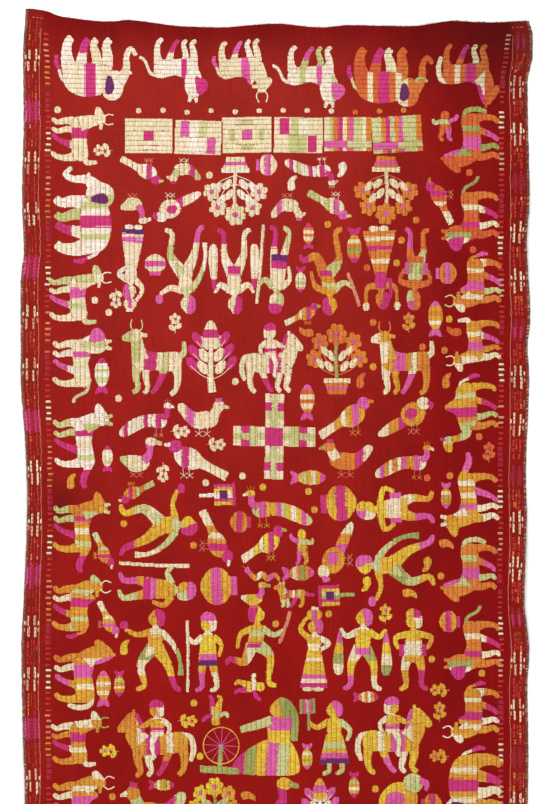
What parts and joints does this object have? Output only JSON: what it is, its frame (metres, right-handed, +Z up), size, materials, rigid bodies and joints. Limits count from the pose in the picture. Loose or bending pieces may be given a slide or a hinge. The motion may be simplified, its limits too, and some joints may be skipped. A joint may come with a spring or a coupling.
{
  "type": "phulkari shawl",
  "caption": "Rectangular embroidered cotton shawl lying face up, with wavy hand-woven edges and low swells.",
  "frame": {"origin": "centre of the cloth's box in X and Y, at the underside's level", "axes": "+X across the cloth, +Y along it towards the end whose left corner is drawn out, +Z up"},
  "size_m": [1.29, 2.33, 0.0076],
  "materials": {
    "ground_cotton": "matte hand-woven cotton",
    "floss_silk": "soft sheen of untwisted silk floss"
  },
  "bodies": {
    "root": {"ground_cloth": "ground_cotton"}
  },
  "joints": []
}
